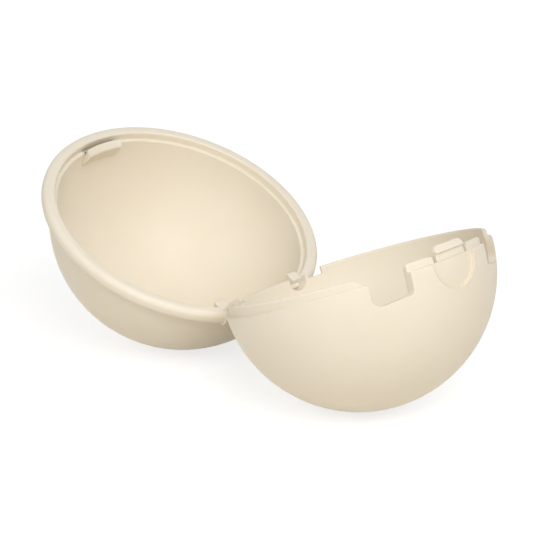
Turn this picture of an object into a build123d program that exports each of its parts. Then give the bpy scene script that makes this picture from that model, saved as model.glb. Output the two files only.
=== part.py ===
from build123d import *
import math
import os

# Round two-bowl pacifier case, lying open with both bowls on the table.
# All lengths are millimetres and all angles are degrees.
#
# The pieces are made in the frame of the closed case: the base bowl's centre is the
# origin, +Z points into the lid, the latch is at +X and the hinge at -X. Afterwards the
# lid is swung open and the whole case is laid on the table, where +X runs from the lid
# to the base, Y is the hinge line and the table is z = 0.

# Bowls
bowl_radius = 42.0
base_wall = 2.5
lid_wall = 2.0
lid_centre_drop = 0.9

# Base rim: a ledge that the collar meets, and a lip that it covers
ledge_width = 1.2
ledge_drop = 0.4
lip_top = 2.0
lip_rounding = 0.6
rim_rounding = 0.4

# Clearance cut that lowers the ledge towards the hinge
relief_depth = 0.85
relief_start_x = 19.0
relief_full_x = -9.0

# Lid collar
collar_reach = 3.0
collar_height = 4.6
collar_face_gap = 0.1
collar_outer_rounding = 1.9
collar_inner_rounding = 0.7
lip_side_gap = 0.3
lip_top_gap = 0.3

# Strap notches, cut straight back from the latch side
notch_near_y = 16.2
notch_width = 11.2
notch_near_depth = 7.0
notch_far_depth = 8.0
notch_near_rounding = 1.2
notch_far_rounding = 2.8
notch_near_mouth_rounding = 0.9
notch_far_mouth_rounding = 3.6

# Thumb recess under the latch
recess_radius = 8.8
recess_centre_depth = 1.1

# Latch tongue with its hook, and its slots
tongue_width = 12.0
tongue_slot = 1.2
slot_mouth_rounding = 1.5
tongue_top = 4.2
hook_height = 2.0
hook_reach = 0.7
hook_tip_setback = 0.5
tongue_corner = 1.6

# Catch pocket and guard block in the lid
pocket_side_gap = 0.8
pocket_top_gap = 0.4
pocket_back_gap = 0.5
pocket_skin = 0.8
pocket_flex_room = 1.2
catch_clearance = 0.1
guard_end = 0.3
guard_thickness = 2.0
guard_face_drop = 0.2
guard_ramp_height = 1.8
guard_slope_height = 10.5
guard_back_gap = 0.4
guard_rounding = 0.5
guard_end_rounding = 1.2

# Hinge
hinge_inset = 0.7
hinge_drop = 1.7
pin_radius = 0.8
pin_running_gap = 0.05
pin_inner_y = 4.5
barrel_radius = 1.7
ear_inner_y = 14.2
ear_width = 3.8
ear_radius = 1.7
ear_swing_gap = 0.6
ear_side_gap = 0.3
ear_pad_reach = 6.45
ear_pad_height = 4.0
stop_rib_width = 12.0
stop_rib_height = 3.5
stop_reach = 3.74
vent_centre_y = 10.2
vent_radius = 2.75
vent_depth = 3.2
centre_wall_top = 0.9
centre_wall_gap = 0.3
centre_wall_rounding = 1.0
stop_gap = 0.1
opening_angle = 132.5

# Sizes that follow from the ones above
lip_outer = bowl_radius - ledge_width
lip_inner = bowl_radius - base_wall
ledge_z = -ledge_drop
collar_face = ledge_z + collar_face_gap
collar_top = collar_face + collar_height
collar_radius = bowl_radius + collar_reach
rebate_radius = lip_outer + lip_side_gap
rebate_top = lip_top + lip_top_gap
lid_centre_z = -lid_centre_drop
lid_inner = bowl_radius - lid_wall
hinge_x = -(bowl_radius - hinge_inset)
hinge_z = -hinge_drop
ear_outer_y = ear_inner_y + ear_width
barrel_end_y = ear_inner_y - ear_side_gap
lip_end_y = ear_outer_y + ear_side_gap
relief_radius = ear_radius + ear_swing_gap
notch_far_y = notch_near_y + notch_width
slot_end_y = tongue_width / 2 + tongue_slot
pocket_end_y = tongue_width / 2 + pocket_side_gap
pocket_top = tongue_top + pocket_top_gap
hinge_cut_z = centre_wall_top + centre_wall_gap
far = 3 * bowl_radius
pick_tolerance = 0.01


def ring_radius(radius, distance):
    """Radius of a sphere's cut at a distance from its centre."""
    return math.sqrt(radius**2 - distance**2)


def revolved(points_and_arcs):
    """Solid of revolution about Z of a closed outline given as edges in XZ."""
    return revolve(make_face(Wire(points_and_arcs)), Axis.Z)


def line(start, end):
    return Line((start[0], 0, start[1]), (end[0], 0, end[1]))


def turned_ring(corners):
    """Solid of revolution about Z of the straight outline through (x, z) corners."""
    return revolved([line(corners[i - 1], corners[i]) for i in range(len(corners))])


def sphere_arc(radius, centre_z, start, end):
    """Arc in XZ between two points of a sphere whose centre is on Z."""
    mid_x = (start[0] + end[0]) / 2
    mid_z = (start[1] + end[1]) / 2 - centre_z
    reach = radius / math.hypot(mid_x, mid_z)
    middle = (mid_x * reach, 0, centre_z + mid_z * reach)
    return ThreePointArc((start[0], 0, start[1]), middle, (end[0], 0, end[1]))


def block(x_range, y_range, z_range):
    size = [high - low for low, high in (x_range, y_range, z_range)]
    middle = [(high + low) / 2 for low, high in (x_range, y_range, z_range)]
    return Pos(*middle) * Box(*size)


def turned(x, z, angle):
    """An (x, z) offset after a turn that opens the lid by an angle."""
    slant = math.radians(angle)
    return (x * math.cos(slant) - z * math.sin(slant), x * math.sin(slant) + z * math.cos(slant))


def both_sides(solid):
    """The solid and its mirror image across the middle plane of the case."""
    return [solid, mirror(solid, about=Plane.XZ)]


def prism(points, y_range):
    """Prism along Y over a closed outline of (x, z) points."""
    face = make_face(Polyline([(x, y_range[0], z) for x, z in points], close=True))
    return extrude(face, amount=y_range[1] - y_range[0], dir=(0, 1, 0))


def rod(centre, radius, y_range):
    """Cylinder along Y about an (x, z) centre."""
    length = y_range[1] - y_range[0]
    place = Location((centre[0], (y_range[0] + y_range[1]) / 2, centre[1]), (90, 0, 0))
    return place * Cylinder(radius, length)


def circle_edges(solid, radius, height):
    """Circular edges about Z of one radius at one height."""
    found = []
    for edge in solid.edges().filter_by(GeomType.CIRCLE):
        same_radius = abs(edge.radius - radius) < pick_tolerance
        if same_radius and abs(edge.arc_center.Z - height) < pick_tolerance:
            found.append(edge)
    return found


axis_point = (hinge_x, hinge_z)


# Base bowl
def base_bowl():
    """Bowl with its ledge and the full ring of the lip."""
    rim_outer = ring_radius(bowl_radius, ledge_drop)
    outline = [
        sphere_arc(bowl_radius, 0, (0, -bowl_radius), (rim_outer, ledge_z)),
        line((rim_outer, ledge_z), (lip_outer, ledge_z)),
        line((lip_outer, ledge_z), (lip_outer, lip_top)),
        line((lip_outer, lip_top), (lip_inner, lip_top)),
        line((lip_inner, lip_top), (lip_inner, 0)),
        sphere_arc(lip_inner, 0, (lip_inner, 0), (0, -lip_inner)),
        line((0, -lip_inner), (0, -bowl_radius)),
    ]
    bowl = revolved(outline)
    lip_edges = circle_edges(bowl, lip_outer, lip_top) + circle_edges(bowl, lip_inner, lip_top)
    bowl = fillet(lip_edges, lip_rounding)
    return fillet(circle_edges(bowl, rim_outer, ledge_z), rim_rounding)


def window_cutter(corners, roundings):
    """Cut along +X through a (y, z) outline with the corners of those numbers rounded."""
    face = make_face(Polyline([(0, y, z) for y, z in corners], close=True)).faces()[0]
    for number, radius in roundings.items():
        corner = Vector(0, *corners[number])
        face = face.fillet_2d(radius, [face.vertices().sort_by_distance(corner)[0]])
    return extrude(face, amount=far, dir=(1, 0, 0))


def notch_cutter():
    """Cut along X for the strap notch on the +Y side."""
    near_mouth_y = notch_near_y - 2 * notch_near_mouth_rounding
    far_mouth_y = notch_far_y + 2 * notch_far_mouth_rounding
    corners = [
        (near_mouth_y, far),
        (near_mouth_y, lip_top),
        (notch_near_y, lip_top),
        (notch_near_y, -notch_near_depth),
        (notch_far_y, -notch_far_depth),
        (notch_far_y, lip_top),
        (far_mouth_y, lip_top),
        (far_mouth_y, far),
    ]
    roundings = {
        2: notch_near_mouth_rounding,
        3: notch_near_rounding,
        4: notch_far_rounding,
        5: notch_far_mouth_rounding,
    }
    return window_cutter(corners, roundings)


def slot_cutter():
    """Gap in the lip that the tongue stands in, with rounded lip ends."""
    mouth_y = slot_end_y + 2 * slot_mouth_rounding
    half = [(slot_end_y, ledge_z), (slot_end_y, lip_top), (mouth_y, lip_top), (mouth_y, far)]
    corners = half + [(-y, z) for y, z in reversed(half)]
    return window_cutter(corners, {1: slot_mouth_rounding, 6: slot_mouth_rounding})


def ledge_relief_cutter():
    """Ring outside the lip, over a floor that ramps down towards the hinge."""
    floor = ledge_z - relief_depth
    over = [
        (relief_start_x, ledge_z),
        (relief_full_x, floor),
        (-far, floor),
        (-far, lip_top),
        (relief_start_x, lip_top),
    ]
    ramp = prism(over, (-far, far))
    return ramp - Cylinder(lip_outer, far)


def recess_cutter():
    """Round patch in front of the bowl, down to a sphere that meets the lip's foot."""
    centre = (bowl_radius, 0, -recess_centre_depth)
    patch = Location(centre, (0, 90, 0)) * Cylinder(recess_radius, bowl_radius)
    below_ledge = block((0, far), (-far, far), (-far, ledge_z))
    return (patch & below_ledge) - Sphere(math.hypot(lip_outer, ledge_z))


def hinge_barrel():
    """Round bar behind the bowl that holds both pins, and the web that joins it to the wall."""
    y_range = (-barrel_end_y, barrel_end_y)
    wall_x = -ring_radius(lip_inner, barrel_end_y)
    web = [
        (hinge_x, hinge_z + barrel_radius),
        (hinge_x, hinge_z - barrel_radius),
        (wall_x, hinge_z - 2 * barrel_radius),
        (wall_x, hinge_z + barrel_radius),
    ]
    bar = rod(axis_point, barrel_radius, y_range) + prism(web, y_range)
    return bar - Sphere(lip_inner + base_wall / 4)


def lip_gap_cutter():
    """Sector where the lip stops at the hinge, less the low stretch of wall in its middle."""
    reach_y = far * lip_end_y / ring_radius(lip_inner, lip_end_y)
    corners = [(0, 0, ledge_z), (-far, reach_y, ledge_z), (-far, -reach_y, ledge_z)]
    sector = extrude(make_face(Polyline(corners, close=True)), amount=far, dir=(0, 0, 1))
    low_wall = block((-far, 0), (-barrel_end_y, barrel_end_y), (-far, centre_wall_top))
    top_ends = low_wall.edges().filter_by(Axis.X).group_by(Axis.Z)[-1]
    return sector - fillet(top_ends, centre_wall_rounding)


def vent_cutter():
    """Round-bottomed gap through the base's wall, beside the hinge on the +Y side."""
    centre_z = vent_radius - vent_depth
    y_range = (vent_centre_y - vent_radius, vent_centre_y + vent_radius)
    x_range = (-far, -bowl_radius / 2)
    centre = (-bowl_radius, vent_centre_y, centre_z)
    bottom = Location(centre, (0, 90, 0)) * Cylinder(vent_radius, bowl_radius)
    return bottom + block(x_range, y_range, (centre_z, far))


def base_shell():
    shell = base_bowl()
    shell -= ledge_relief_cutter()
    shell -= recess_cutter()
    shell -= lip_gap_cutter()
    shell += hinge_barrel()
    shell -= vent_cutter()
    for cutter in both_sides(notch_cutter()):
        shell -= cutter
    shell -= slot_cutter()
    for relief in both_sides(rod(axis_point, relief_radius, (barrel_end_y, lip_end_y))):
        shell -= relief
    for bore in both_sides(rod(axis_point, pin_radius, (pin_inner_y, barrel_end_y))):
        shell -= bore
    return shell


# Latch
def latch_tongue():
    """Upright tongue on the base's rim, with the hook along its outer side."""
    ring = turned_ring([
        (lip_inner, ledge_z),
        (lip_outer, ledge_z),
        (lip_outer, hook_height),
        (lip_outer + hook_reach, hook_height),
        (lip_outer - hook_tip_setback, tongue_top),
        (lip_inner, tongue_top),
    ])
    half = tongue_width / 2
    face = Plane.YZ * Rectangle(tongue_width, 2 * tongue_top)
    top_corners = [v for v in face.vertices() if v.Z > 0]
    face = face.faces()[0].fillet_2d(tongue_corner, top_corners)
    window = extrude(face, amount=far, dir=(1, 0, 0))
    return ring & window


# Lid bowl
def lid_bowl():
    """Dome with the rebate that the base's lip enters."""
    foot = (ring_radius(bowl_radius, collar_face - lid_centre_z), collar_face)
    inner_foot = (ring_radius(lid_inner, rebate_top - lid_centre_z), rebate_top)
    top = (0, lid_centre_z + bowl_radius)
    inner_top = (0, lid_centre_z + lid_inner)
    outline = [
        sphere_arc(bowl_radius, lid_centre_z, top, foot),
        line(foot, (rebate_radius, collar_face)),
        line((rebate_radius, collar_face), (rebate_radius, rebate_top)),
        line((rebate_radius, rebate_top), inner_foot),
        sphere_arc(lid_inner, lid_centre_z, inner_foot, inner_top),
        line(inner_top, top),
    ]
    return revolved(outline)


def collar():
    """Raised band round the dome's edge, which stops on each side of the hinge."""
    inside = (rebate_radius + bowl_radius) / 2
    corners = [
        (inside, collar_face),
        (collar_radius, collar_face),
        (collar_radius, collar_top),
        (inside, collar_top),
    ]
    band = turned_ring(corners)
    outer_edges = circle_edges(band, collar_radius, collar_top)
    outer_edges += circle_edges(band, collar_radius, collar_face)
    band = fillet(outer_edges, collar_outer_rounding)
    return band - block((-far, 0), (-ear_inner_y, ear_inner_y), (-far, far))


def hinge_ear():
    """Ear on the +Y side: a pad inside the wall, a round eye and the web between."""
    y_range = (ear_inner_y, ear_outer_y)
    dome = Pos(0, 0, lid_centre_z) * Sphere(bowl_radius)
    wall_x = -ring_radius(lid_inner, ear_inner_y)
    pad_top = collar_face + ear_pad_height
    pad = [
        (hinge_x, collar_face),
        (hinge_x + ear_pad_reach, collar_face),
        (wall_x, pad_top),
        (hinge_x, pad_top),
    ]
    web = [
        (hinge_x - ear_radius, hinge_z),
        (hinge_x + ear_radius, hinge_z),
        (hinge_x + ear_radius, collar_face),
        (wall_x, collar_face),
        (wall_x, collar_top),
        (hinge_x, collar_top),
    ]
    return (prism(pad, y_range) & dome) + prism(web, y_range) + rod(axis_point, ear_radius, y_range)


def stop_rib():
    """Rib on the dome's edge, behind the hinge, that meets the base when the lid is open."""
    touch_z = hinge_z - stop_reach
    touch_x = -ring_radius(bowl_radius, touch_z) - stop_gap
    offset = turned(touch_x - hinge_x, -stop_reach, -opening_angle)
    tip = (hinge_x + offset[0], hinge_z + offset[1])
    root_x = -(lid_inner + bowl_radius) / 2
    outline = [tip, (root_x, tip[1]), (root_x, tip[1] + stop_rib_height)]
    rib = prism(outline, (-stop_rib_width / 2, stop_rib_width / 2))
    return rib - Pos(0, 0, lid_centre_z) * Sphere(lid_inner + lid_wall / 4)


def catch_pocket():
    """Space in the lid for the tongue, with the hook's room outside it."""
    tongue_room = turned_ring([
        (lip_inner - guard_back_gap, collar_face),
        (rebate_radius, collar_face),
        (rebate_radius, pocket_top),
        (lip_inner - pocket_flex_room, pocket_top),
    ])
    y_range = (-pocket_end_y, pocket_end_y)
    inside_skin = Pos(0, 0, lid_centre_z) * Sphere(bowl_radius - pocket_skin)
    hook_x = lip_outer + hook_reach + pocket_back_gap
    hook_z_range = (hook_height - catch_clearance, collar_top - pocket_skin)
    hook_room = block((lip_inner, hook_x), y_range, hook_z_range)
    return (tongue_room & inside_skin & block((0, far), y_range, (-far, far))) + hook_room


def guard_block():
    """Low strip inside the lid behind the tongue, with a ramp on the side of the opening."""
    outer = lip_inner - guard_back_gap
    inner = outer - guard_thickness
    root = (lid_inner + bowl_radius) / 2
    root_z = rebate_top + lip_top_gap
    face_z = collar_face + guard_face_drop
    ridge_z = face_z + guard_ramp_height
    strip = turned_ring([
        (inner, ridge_z),
        (outer, face_z),
        (outer, root_z),
        (root, root_z),
        (root, ridge_z + guard_slope_height),
    ])
    strip = fillet(circle_edges(strip, inner, ridge_z), guard_rounding)
    half = pocket_end_y + guard_end
    plan = block((ring_radius(inner, half), far), (-half, half), (-far, far))
    front_ends = plan.edges().filter_by(Axis.Z).group_by(Axis.X)[0]
    body = strip & fillet(front_ends, guard_end_rounding)
    return body & (Pos(0, 0, lid_centre_z) * Sphere(root))


def lid_shell():
    shell = lid_bowl() + collar()
    shell = fillet(circle_edges(shell, rebate_radius, collar_face), collar_inner_rounding)
    # The edge is raised over the base's wall at the hinge
    shell -= block((-far, 0), (-ear_inner_y, ear_inner_y), (-far, hinge_cut_z))
    shell += guard_block()
    shell += stop_rib()
    shell -= catch_pocket()
    for ear in both_sides(hinge_ear()):
        shell += ear
    bore_radius = pin_radius + pin_running_gap
    for bore in both_sides(rod(axis_point, bore_radius, (ear_inner_y, ear_outer_y))):
        shell -= bore
    return shell


# Hinge pins
def hinge_pin():
    """Pin on the +Y side, pressed in the barrel and running in the lid's ear."""
    return rod(axis_point, pin_radius, (pin_inner_y, ear_outer_y - ear_side_gap))


# Placing the case on the table: the lid is swung open, and both bowls touch the table
arm = turned(-hinge_x, lid_centre_z - hinge_z, opening_angle)
lid_centre = (hinge_x + arm[0], hinge_z + arm[1])
lean = math.degrees(math.atan2(lid_centre[1], -lid_centre[0]))
to_hinge = Location((hinge_x, 0, hinge_z))
open_lid = to_hinge * Location((0, 0, 0), (0, -opening_angle, 0)) * to_hinge.inverse()
laid_down = Location((0, 0, 0), (0, -lean, 0))

left_pin, right_pin = both_sides(hinge_pin())
pieces = {
    "base_shell": base_shell(),
    "latch_tongue": latch_tongue(),
    "lid_shell": open_lid * lid_shell(),
    "hinge_pin_left": left_pin,
    "hinge_pin_right": right_pin,
}
pieces = {name: laid_down * piece for name, piece in pieces.items()}
bounds = Compound(children=list(pieces.values())).bounding_box()
to_origin = Location((-(bounds.min.X + bounds.max.X) / 2, 0, -bounds.min.Z))

os.makedirs("parts", exist_ok=True)
for name, piece in pieces.items():
    placed = to_origin * piece
    solids = placed.solids()
    export_step(solids[0] if len(solids) == 1 else Compound(children=solids), f"parts/{name}.step")
    print(name, len(solids), "solids")


# Places in the table frame that the joints and mounts use
def on_table(x, y, z):
    flat_x, flat_z = turned(x, z, lean)
    shift = to_origin.position
    return [round(value, 4) for value in (flat_x + shift.X, y, flat_z + shift.Z)]


notch_mid_y = (notch_near_y + notch_far_y) / 2
notch_mid_z = -(notch_near_depth + notch_far_depth) / 2
notch_mid_x = ring_radius(ring_radius(bowl_radius - base_wall / 2, notch_mid_y), notch_mid_z)
notch_tilt = math.atan2(notch_far_depth - notch_near_depth, notch_width)
tongue_root_x = ring_radius(lip_inner, tongue_width / 2)
print("lean of the base", round(lean, 3), "and of the lid", round(180 - opening_angle - lean, 3))
print("hinge line", on_table(hinge_x, 0, hinge_z))
print("tongue root", on_table(tongue_root_x, 0, ledge_z))
print("strap notch floor", on_table(notch_mid_x, notch_mid_y, notch_mid_z))
normal = turned(0, math.cos(notch_tilt), lean)
print("strap notch normal", round(normal[0], 5), round(math.sin(notch_tilt), 5), round(normal[1], 5))
print("base rim normal", [round(value, 5) for value in turned(0, 1, lean)])
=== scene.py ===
import math

import bmesh
import bpy
from mathutils import Matrix, Vector

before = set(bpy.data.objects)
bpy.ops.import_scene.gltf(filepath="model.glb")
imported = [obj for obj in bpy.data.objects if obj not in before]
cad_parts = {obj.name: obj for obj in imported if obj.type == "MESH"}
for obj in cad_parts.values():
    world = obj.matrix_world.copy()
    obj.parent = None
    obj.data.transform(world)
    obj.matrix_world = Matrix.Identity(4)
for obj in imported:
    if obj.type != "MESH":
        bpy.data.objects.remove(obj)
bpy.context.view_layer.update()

MM = 0.001

# The moulded plastic: its body colours, the tint of its slow flow clouds and its rubbed edges
IVORY = (0.843, 0.77, 0.641, 1)
PIN_IVORY = (0.815, 0.742, 0.615, 1)
IVORY_DEEP = (0.828, 0.75, 0.614, 1)
IVORY_RUBBED = (0.86, 0.793, 0.672, 1)

# Its patterns, each with its scale per metre, its octaves and their roughness
FLOW_CLOUDS = (38, 3, 0.5)
HANDLING = (140, 4, 0.6)
SPARK_GRAIN = (2600, 2, 0.55)

# A flow cloud comes in between these two levels of its pattern
CLOUD_STARTS = 0.35
CLOUD_FULL = 0.65

GRAIN_DEPTH = 0.06 * MM
GRAIN_STRENGTH = 0.12

# Edges are softened over a small radius, and rubbed where the softened normal leaves the facet's own
EDGE_SOFTNESS = 0.35 * MM
EDGE_SAMPLES = 8
RUB_STARTS = 0.995
RUB_FULL = 0.9
RUB_LEAST = 0.35
RUB_BY_HANDLING = 0.5

# The surface is matte, rougher where it is handled and smoother where it is rubbed
MATTE = 0.46
HANDLED_ROUGHER = 0.12
RUBBED_SMOOTHER = 0.08
PLASTIC_IOR = 1.49

# A little light passes into the plastic, red the furthest
INNER_LIGHT = 0.12
INNER_LIGHT_REACH = 0.8 * MM
INNER_LIGHT_COLOURS = (1.0, 0.7, 0.4)

# The floor is pale ivory board, and the room is an even white
FLOOR_BOARD = (0.85, 0.80, 0.71, 1)
FLOOR_SEEN = (0.42, 0.42, 0.42, 1)
FLOOR_GLOW = 0.74
FLOOR_REACH = 3.0
WHITE = (1, 1, 1, 1)
ROOM_STRENGTH = 0.36
ROOM_SEEN = 1

# Each bowl is a dome round its own centre on the table
BASE_CENTRE = Vector((37.752, 0, 42)) * MM
LID_CENTRE = Vector((-37.53, 0, 42)) * MM

# The photograph's view
LOOK_AT = Vector((18.47, -18.35, 43.3)) * MM
VIEW_AZIMUTH = math.radians(44.4)
VIEW_ELEVATION = math.radians(20.76)
VIEW_ROLL = math.radians(-0.85)
VIEW_DISTANCE = 1.26
VIEW_LENS = 278
FILM_WIDTH = 36

# Round softboxes of one size, each with its azimuth, elevation and watts
SOFTBOX_WIDTH = 0.8
SOFTBOX_DISTANCE = 1.2
SOFTBOXES = {
    "key": (62, 42, 7.0),
    "left": (6, 28, 2.9),
    "right": (102, 45, 1.7),
    "top": (60, 75, 0.7),
    "behind": (-60, 12, 0.6),
}


class Signal:
    """One output socket, so that shader maths reads as plain arithmetic."""

    def __init__(self, shading, socket):
        self.shading = shading
        self.socket = socket

    def maths(self, operation, first, second):
        return self.shading.node("Math", {"operation": operation}, {0: first, 1: second})

    def __add__(self, other):
        return self.maths("ADD", self, other)

    def __sub__(self, other):
        return self.maths("SUBTRACT", self, other)

    def __rsub__(self, other):
        return self.maths("SUBTRACT", other, self)

    def __mul__(self, other):
        return self.maths("MULTIPLY", self, other)

    __radd__ = __add__
    __rmul__ = __mul__


class Shading:
    """The node tree of a material or of the room, while it is made.

    A socket goes by its name, or by its number where several on one node share a name.
    """

    def __init__(self, owner):
        owner.use_nodes = True
        self.owner = owner
        self.tree = owner.node_tree
        self.tree.nodes.clear()

    def node(self, kind, settings=None, sockets=None, out=0):
        made = self.tree.nodes.new("ShaderNode" + kind)
        for name, value in (settings or {}).items():
            setattr(made, name, value)
        for key, value in (sockets or {}).items():
            if isinstance(value, Signal):
                self.tree.links.new(value.socket, made.inputs[key])
            else:
                made.inputs[key].default_value = value
        return Signal(self, made.outputs[out]) if made.outputs else None

    def mix(self, amount, first, second):
        return self.node("Mix", {"data_type": "RGBA"}, {0: amount, 6: first, 7: second}, out=2)

    def noise(self, place, scale, detail, roughness):
        sockets = {"Vector": place, "Scale": scale, "Detail": detail, "Roughness": roughness}
        return self.node("TexNoise", {}, sockets)

    def rise(self, value, start, end):
        """0 where the value is at the start and before it, and 1 at the end and beyond."""
        return self.node("MapRange", {}, {"Value": value, "From Min": start, "From Max": end})

    def seen_directly(self):
        """1 for rays from the camera, off gloss or through glass, and 0 for bounced light."""
        camera_ray = self.node("LightPath", out="Is Camera Ray")
        glossy_ray = self.node("LightPath", out="Is Glossy Ray")
        glass_ray = self.node("LightPath", out="Is Transmission Ray")
        return camera_ray + glossy_ray + glass_ray


def moulded_plastic(name, centre, body):
    """Matte moulded plastic: fine spark grain, faint flow clouds and edges rubbed by handling."""
    shading = Shading(bpy.data.materials.new(name))
    place = shading.node("TexCoord", out="Object")
    place = shading.node("Mapping", {}, {"Vector": place, "Location": [-along for along in centre]})
    clouds = shading.noise(place, *FLOW_CLOUDS)
    handling = shading.noise(place, *HANDLING)
    grain = shading.noise(place, *SPARK_GRAIN)
    soft_normal = shading.node("Bevel", {"samples": EDGE_SAMPLES}, {"Radius": EDGE_SOFTNESS})
    facet_normal = shading.node("NewGeometry", out="True Normal")
    both_normals = {0: soft_normal, 1: facet_normal}
    flatness = shading.node("VectorMath", {"operation": "DOT_PRODUCT"}, both_normals, out="Value")
    rubbed = shading.rise(flatness, RUB_STARTS, RUB_FULL) * (RUB_LEAST + RUB_BY_HANDLING * handling)
    colour = shading.mix(shading.rise(clouds, CLOUD_STARTS, CLOUD_FULL), body, IVORY_DEEP)
    colour = shading.mix(rubbed, colour, IVORY_RUBBED)
    relief = shading.node("Bump", {}, {
        "Height": grain,
        "Strength": GRAIN_STRENGTH,
        "Distance": GRAIN_DEPTH,
        "Normal": soft_normal,
    })
    plastic = shading.node("BsdfPrincipled", {}, {
        "Base Color": colour,
        "Roughness": MATTE + handling * HANDLED_ROUGHER - rubbed * RUBBED_SMOOTHER,
        "Normal": relief,
        "IOR": PLASTIC_IOR,
        "Subsurface Weight": INNER_LIGHT,
        "Subsurface Radius": INNER_LIGHT_COLOURS,
        "Subsurface Scale": INNER_LIGHT_REACH,
    })
    shading.node("OutputMaterial", {}, {"Surface": plastic})
    return shading.owner


def dress(node, material):
    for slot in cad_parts[node].material_slots:
        slot.material = material


def floor_finish():
    """Pale board that shows white where no shadow falls."""
    shading = Shading(bpy.data.materials.new("floor_board"))
    board = shading.node("BsdfDiffuse", {}, {"Color": FLOOR_BOARD})
    shadowed = shading.node("BsdfDiffuse", {}, {"Color": FLOOR_SEEN})
    glow = shading.node("Emission", {}, {"Color": WHITE, "Strength": FLOOR_GLOW})
    lifted = shading.node("AddShader", {}, {0: shadowed, 1: glow})
    floor = shading.node("MixShader", {}, {0: shading.seen_directly(), 1: board, 2: lifted})
    shading.node("OutputMaterial", {}, {"Surface": floor})
    return shading.owner


def table_top():
    mesh = bpy.data.meshes.new("floor")
    sheet = bmesh.new()
    bmesh.ops.create_grid(sheet, x_segments=1, y_segments=1, size=FLOOR_REACH)
    sheet.to_mesh(mesh)
    sheet.free()
    mesh.materials.append(floor_finish())
    floor = bpy.data.objects.new("floor", mesh)
    bpy.context.scene.collection.objects.link(floor)


def studio_room():
    """An even room: white to the eye and dimmer as light."""
    world = bpy.data.worlds.new("studio")
    bpy.context.scene.world = world
    shading = Shading(world)
    dim = shading.node("Background", {}, {"Color": WHITE, "Strength": ROOM_STRENGTH})
    white = shading.node("Background", {}, {"Color": WHITE, "Strength": ROOM_SEEN})
    room = shading.node("MixShader", {}, {0: shading.seen_directly(), 1: dim, 2: white})
    shading.node("OutputWorld", {}, {"Surface": room})


def bearing(azimuth, elevation):
    """The direction from the object towards something at that azimuth and elevation."""
    level = math.cos(elevation)
    return Vector((math.sin(azimuth) * level, -math.cos(azimuth) * level, math.sin(elevation)))


def softbox(name, azimuth, elevation, watts):
    lamp = bpy.data.lights.new(name, "AREA")
    lamp.shape = "DISK"
    lamp.size = SOFTBOX_WIDTH
    lamp.energy = watts
    stand = bpy.data.objects.new(name, lamp)
    bpy.context.scene.collection.objects.link(stand)
    towards = bearing(math.radians(azimuth), math.radians(elevation))
    stand.location = LOOK_AT + towards * SOFTBOX_DISTANCE
    stand.rotation_euler = towards.to_track_quat("Z", "Y").to_euler()


def photo_camera():
    lens = bpy.data.cameras.new("camera")
    lens.lens = VIEW_LENS
    lens.sensor_width = FILM_WIDTH
    camera = bpy.data.objects.new("camera", lens)
    bpy.context.scene.collection.objects.link(camera)
    back = bearing(VIEW_AZIMUTH, VIEW_ELEVATION)
    roll = Matrix.Rotation(VIEW_ROLL, 4, "Z").to_quaternion()
    camera.rotation_mode = "QUATERNION"
    camera.rotation_quaternion = back.to_track_quat("Z", "Y") @ roll
    camera.location = LOOK_AT + back * VIEW_DISTANCE
    bpy.context.scene.camera = camera


dress("base_shell", moulded_plastic("base_ivory", BASE_CENTRE, IVORY))
dress("latch_tongue", moulded_plastic("tongue_ivory", BASE_CENTRE, IVORY))
dress("lid_shell", moulded_plastic("lid_ivory", LID_CENTRE, IVORY))
pin_plastic = moulded_plastic("pin_ivory", BASE_CENTRE, PIN_IVORY)
dress("hinge_pin_left", pin_plastic)
dress("hinge_pin_right", pin_plastic)

table_top()
studio_room()
for lamp_name, (azimuth, elevation, watts) in SOFTBOXES.items():
    softbox(lamp_name, azimuth, elevation, watts)
photo_camera()
bpy.context.scene.view_settings.view_transform = "Standard"
